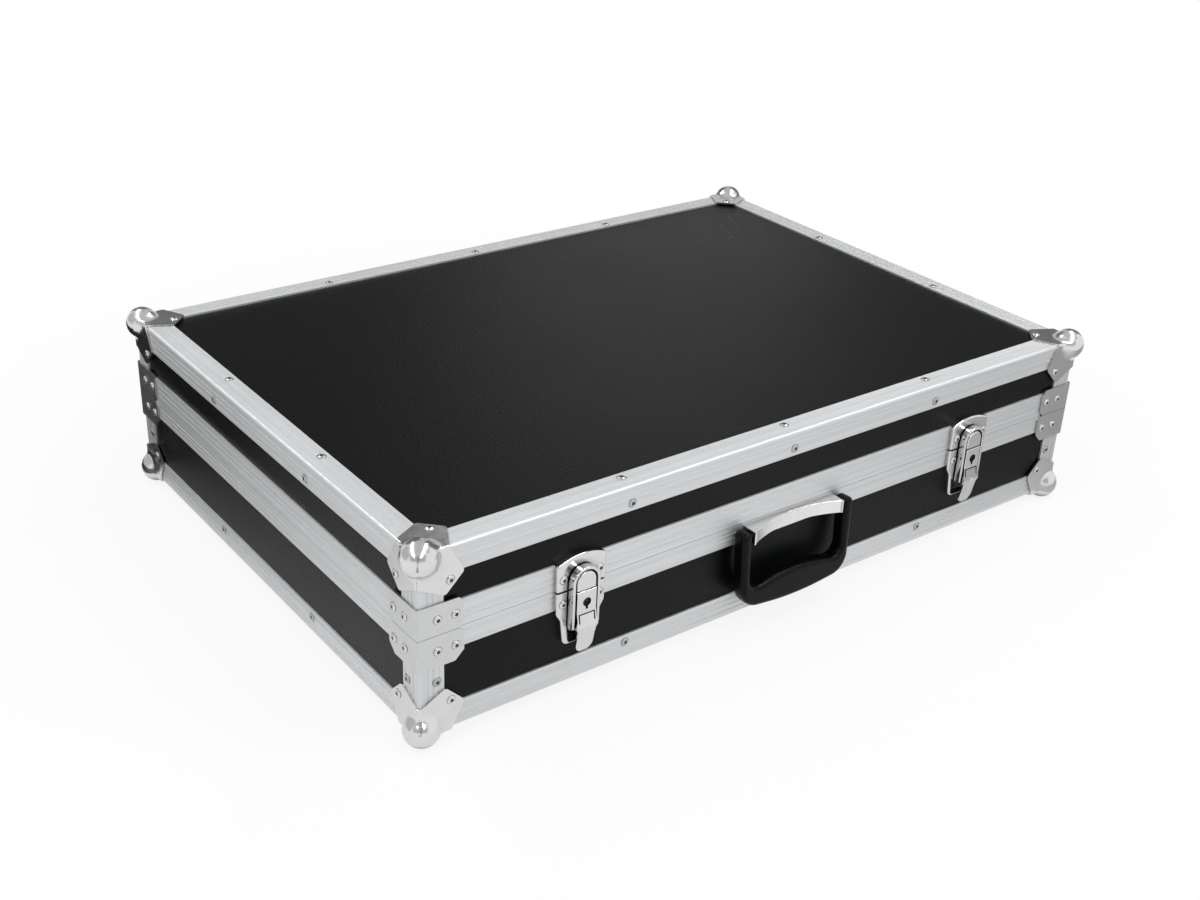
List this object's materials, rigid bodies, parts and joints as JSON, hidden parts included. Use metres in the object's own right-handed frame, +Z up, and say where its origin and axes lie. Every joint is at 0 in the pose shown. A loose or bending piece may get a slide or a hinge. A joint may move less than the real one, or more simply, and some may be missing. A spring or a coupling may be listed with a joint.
{
  "type": "flight case",
  "caption": "Shallow black flight case with ribbed aluminium edges, ball corners, locking toggle latches, a drop handle, rear stop hinges and a foam lining.",
  "frame": {"origin": "on the floor under the middle of the case's aluminium outline; the lower ball corners touch the floor", "axes": "+X along the long side, -Y towards the front with the latches and handle, +Z up"},
  "size_m": [0.678, 0.4885, 0.163],
  "materials": {
    "laminate": "black laminated plywood, fine grain, low gloss",
    "aluminium": "satin extruded aluminium, ribbed lengthwise",
    "zinc_plate": "matte zinc-plated sheet steel",
    "nickel": "bright nickel-plated pressed steel",
    "rivet": "bright blind rivets",
    "pin_steel": "plain steel",
    "lock_steel": "dark oiled steel",
    "grip_plastic": "black moulded plastic, fine texture",
    "foam": "charcoal open-cell foam"
  },
  "bodies": {
    "base": {"base_ball_corners": "nickel", "base_corner_braces": "zinc_plate", "base_corner_posts": "aluminium", "base_edge_front": "aluminium", "base_edge_left": "aluminium", "base_edge_rear": "aluminium", "base_edge_right": "aluminium", "base_floor_foam": "foam", "base_floor_panel": "laminate", "base_front_panel": "laminate", "base_left_panel": "laminate", "base_rear_panel": "laminate", "base_right_panel": "laminate", "base_rim_front": "aluminium", "base_rim_left": "aluminium", "base_rim_rear": "aluminium", "base_rim_right": "aluminium", "base_rivets": "rivet", "base_wall_foam": "foam", "handle_bracket": "nickel", "handle_pins": "pin_steel", "hinge_left_base_leaf": "zinc_plate", "hinge_pins": "pin_steel", "hinge_right_base_leaf": "zinc_plate", "latch_left_base_plate": "nickel", "latch_pivot_pins": "pin_steel", "latch_right_base_plate": "nickel"},
    "lid": {"hinge_left_lid_leaf": "zinc_plate", "hinge_right_lid_leaf": "zinc_plate", "latch_left_keeper": "nickel", "latch_right_keeper": "nickel", "lid_ball_corners": "nickel", "lid_corner_braces": "zinc_plate", "lid_corner_posts": "aluminium", "lid_edge_front": "aluminium", "lid_edge_left": "aluminium", "lid_edge_rear": "aluminium", "lid_edge_right": "aluminium", "lid_foam": "foam", "lid_front_panel": "laminate", "lid_left_panel": "laminate", "lid_rear_panel": "laminate", "lid_right_panel": "laminate", "lid_rim_front": "aluminium", "lid_rim_left": "aluminium", "lid_rim_rear": "aluminium", "lid_rim_right": "aluminium", "lid_rivets": "rivet", "lid_top_panel": "laminate"},
    "handle": {"handle_grip": "grip_plastic"},
    "latch_left_lever": {"latch_left_bail_pin": "pin_steel", "latch_left_lever": "nickel"},
    "latch_left_bail": {"latch_left_bail": "nickel"},
    "latch_left_lock": {"latch_left_lock": "lock_steel"},
    "latch_right_lever": {"latch_right_bail_pin": "pin_steel", "latch_right_lever": "nickel"},
    "latch_right_bail": {"latch_right_bail": "nickel"},
    "latch_right_lock": {"latch_right_lock": "lock_steel"}
  },
  "joints": [
    {"name": "lid_hinge", "type": "hinge", "parent": "base", "child": "lid", "pos_m": [0, 0.2338, 0.0895], "axis": [-1, 0, 0], "range_deg": [0, 100]},
    {"name": "handle_pivot", "type": "hinge", "parent": "base", "child": "handle", "pos_m": [0, -0.238, 0.0815], "axis": [-1, 0, 0], "range_deg": [0, 95]},
    {"name": "latch_left_lever_pivot", "type": "hinge", "parent": "base", "child": "latch_left_lever", "pos_m": [-0.2, -0.2376, 0.0861], "axis": [-1, 0, 0], "range_deg": [0, 90]},
    {"name": "latch_left_bail_pivot", "type": "hinge", "parent": "latch_left_lever", "child": "latch_left_bail", "pos_m": [-0.2, -0.2372, 0.0625], "axis": [-1, 0, 0], "range_deg": [-67.5, 0]},
    {"name": "latch_left_lock_turn", "type": "hinge", "parent": "latch_left_lever", "child": "latch_left_lock", "pos_m": [-0.2, -0.2398, 0.08], "axis": [0, 1, 0], "range_deg": [0, 90]},
    {"name": "latch_right_lever_pivot", "type": "hinge", "parent": "base", "child": "latch_right_lever", "pos_m": [0.2, -0.2376, 0.0861], "axis": [-1, 0, 0], "range_deg": [0, 90]},
    {"name": "latch_right_bail_pivot", "type": "hinge", "parent": "latch_right_lever", "child": "latch_right_bail", "pos_m": [0.2, -0.2372, 0.0625], "axis": [-1, 0, 0], "range_deg": [-67.5, 0]},
    {"name": "latch_right_lock_turn", "type": "hinge", "parent": "latch_right_lever", "child": "latch_right_lock", "pos_m": [0.2, -0.2398, 0.08], "axis": [0, 1, 0], "range_deg": [0, 90]}
  ],
  "couplings": [
    {"joint": "latch_left_bail_pivot", "follows": "latch_left_lever_pivot", "ratio": -0.75},
    {"joint": "latch_right_bail_pivot", "follows": "latch_right_lever_pivot", "ratio": -0.75}
  ]
}
